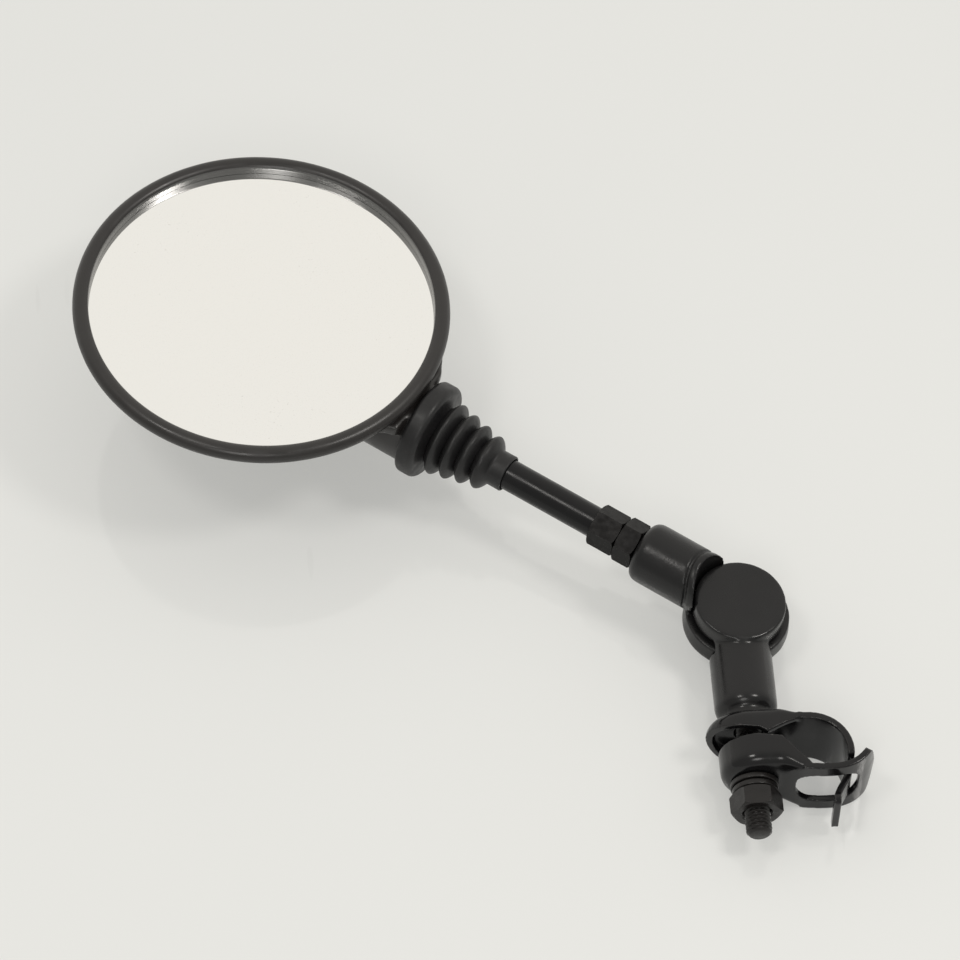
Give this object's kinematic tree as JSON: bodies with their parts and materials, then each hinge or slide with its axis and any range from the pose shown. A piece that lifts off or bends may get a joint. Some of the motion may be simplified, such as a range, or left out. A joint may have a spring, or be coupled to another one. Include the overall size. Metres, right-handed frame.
{
  "type": "bicycle handlebar mirror",
  "caption": "Round flat mirror in a black plastic shell on a ball joint with a rubber boot, a steel stem and a bolted two-piece folding arm with a hooked two-jaw handlebar clamp",
  "frame": {"origin": "centre of the handlebar bore, halfway along the clamp", "axes": "+Z runs along the handlebar towards the side the mirror faces, +Y runs along the clamp stud from the clamp to the knuckle, and +X points from the stud to the handlebar"},
  "size_m": [0.2407, 0.2404, 0.0549],
  "materials": {
    "gloss_black_steel": "gloss black coat on pressed steel",
    "satin_black_casting": "satin black paint on a hammered casting",
    "black_oxide": "blackened steel, slightly brown",
    "black_rubber": "matte dark grey rubber",
    "black_plastic": "black moulded plastic",
    "white_nylon": "off-white nylon",
    "spring_steel": "bright spring steel",
    "grey_foam": "grey closed-cell foam",
    "mirror_silver": "silvered flat mirror"
  },
  "bodies": {
    "clamp": {"clamp_rear_jaw": "gloss_black_steel"},
    "front_jaw": {"clamp_front_jaw": "gloss_black_steel", "clamp_flat_washer": "black_oxide", "clamp_spring_washer": "black_oxide"},
    "nut": {"clamp_nut": "black_oxide"},
    "arm_base": {"lower_arm": "satin_black_casting", "clamp_stud": "black_oxide", "knuckle_bolt": "black_oxide", "knuckle_flat_washer": "black_oxide", "knuckle_spring_washer": "spring_steel", "knuckle_friction_washer": "white_nylon"},
    "arm_top": {"upper_arm": "satin_black_casting"},
    "lock_nut": {"stem_lock_nut": "black_oxide"},
    "stem": {"stem_stud": "black_oxide", "stem_hex_sleeve": "black_oxide", "stem_rod": "gloss_black_steel", "ball_stud": "spring_steel"},
    "boot_pan": {"boot": "black_rubber"},
    "head": {"head_housing": "black_plastic", "ball_seat": "white_nylon", "ball_pressure_cup": "white_nylon", "ball_spring": "spring_steel", "spring_retainer_plate": "black_plastic", "retainer_screw_left": "spring_steel", "retainer_screw_right": "spring_steel", "glass_foam_pad": "grey_foam", "mirror_glass": "mirror_silver", "mirror_bezel": "black_plastic"}
  },
  "joints": [
    {"name": "front_jaw_slide", "type": "slide", "parent": "clamp", "child": "front_jaw", "axis": [0, -1, 0], "range_m": [0, 0.0045]},
    {"name": "clamp_nut_spin", "type": "hinge", "parent": "front_jaw", "child": "nut", "pos_m": [-0.0168, -0.0112, 0], "axis": [0, -1, 0], "range_deg": [0, 1296]},
    {"name": "arm_swivel", "type": "hinge", "parent": "clamp", "child": "arm_base", "pos_m": [-0.0168, 0.0555, 0], "axis": [0, 1, 0], "continuous": true},
    {"name": "knuckle_fold", "type": "hinge", "parent": "arm_base", "child": "arm_top", "pos_m": [-0.0168, 0.0555, 0], "axis": [0.0785, 0, 0.9969], "range_deg": [-105, 50]},
    {"name": "stem_turn", "type": "hinge", "parent": "arm_top", "child": "stem", "pos_m": [-0.01613, 0.0555, 0.00851], "axis": [-0.8142, 0.577, 0.0641], "continuous": true},
    {"name": "lock_nut_spin", "type": "hinge", "parent": "stem", "child": "lock_nut", "pos_m": [-0.0483, 0.0783, 0.01105], "axis": [-0.8142, 0.577, 0.0641], "range_deg": [0, 80]},
    {"name": "head_pan", "type": "hinge", "parent": "stem", "child": "boot_pan", "pos_m": [-0.11709, 0.12705, 0.01646], "axis": [0.0785, 0, 0.9969], "range_deg": [-12, 12], "deforming": ["boot"]},
    {"name": "head_tilt", "type": "hinge", "parent": "boot_pan", "child": "head", "pos_m": [-0.11709, 0.12705, 0.01646], "axis": [-0.5752, -0.8167, 0.0453], "range_deg": [-12, 12], "deforming": ["boot"]}
  ],
  "couplings": [
    {"joint": "front_jaw_slide", "follows": "clamp_nut_spin", "m_per_rad": 0.00019894}
  ]
}
